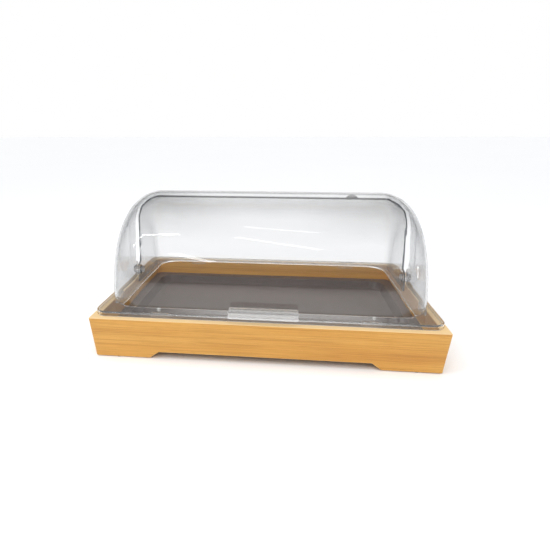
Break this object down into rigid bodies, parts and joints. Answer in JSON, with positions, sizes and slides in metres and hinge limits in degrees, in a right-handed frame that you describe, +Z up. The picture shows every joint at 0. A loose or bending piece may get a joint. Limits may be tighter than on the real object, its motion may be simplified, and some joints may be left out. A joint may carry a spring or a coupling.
{
  "type": "countertop bread display bin",
  "caption": "Wooden box on feet with a lift-out tray under a clear cover whose front half rolls back over the rear half.",
  "frame": {"origin": "on the counter, under the middle of the wooden box", "axes": "+X to the right along the box, +Y to the back, away from the pull, +Z up"},
  "size_m": [0.5598, 0.3558, 0.2515],
  "materials": {
    "oiled_wood": "oiled, satin",
    "ledge_wood": "bare, sanded",
    "screw_steel": "zinc plated",
    "pad_rubber": "matt",
    "clear_pad": "clear, soft",
    "dark_tray": "fine matt texture",
    "clear_plastic": "clear, polished"
  },
  "bodies": {
    "base": {"front_board": "oiled_wood", "rear_board": "oiled_wood", "left_board": "oiled_wood", "right_board": "oiled_wood", "front_ledge": "ledge_wood", "rear_ledge": "ledge_wood", "left_ledge": "ledge_wood", "right_ledge": "ledge_wood", "corner_dowels": "ledge_wood", "ledge_screws": "screw_steel", "foot_pads": "pad_rubber"},
    "tray": {"serving_tray": "dark_tray"},
    "cover": {"cover_frame": "clear_plastic", "rear_shell": "clear_plastic", "pivot_pin_left": "clear_plastic", "pivot_pin_right": "clear_plastic", "pivot_spacer_left": "clear_plastic", "pivot_spacer_right": "clear_plastic", "pivot_nut_left": "clear_plastic", "pivot_nut_right": "clear_plastic", "glide_bumper": "pad_rubber", "closing_stops": "clear_pad"},
    "front": {"front_shell": "clear_plastic", "front_pull": "clear_plastic"}
  },
  "joints": [
    {"name": "cover_lift", "type": "slide", "parent": "base", "child": "cover", "axis": [0, 0, 1], "range_m": [0, 0.2]},
    {"name": "front_roll", "type": "hinge", "parent": "cover", "child": "front", "pos_m": [0, 0, 0.0965], "axis": [-1, 0, 0], "range_deg": [0, 90]},
    {"name": "tray_lift", "type": "slide", "parent": "base", "child": "tray", "axis": [0, 0, 1], "range_m": [0, 0.0215]}
  ]
}
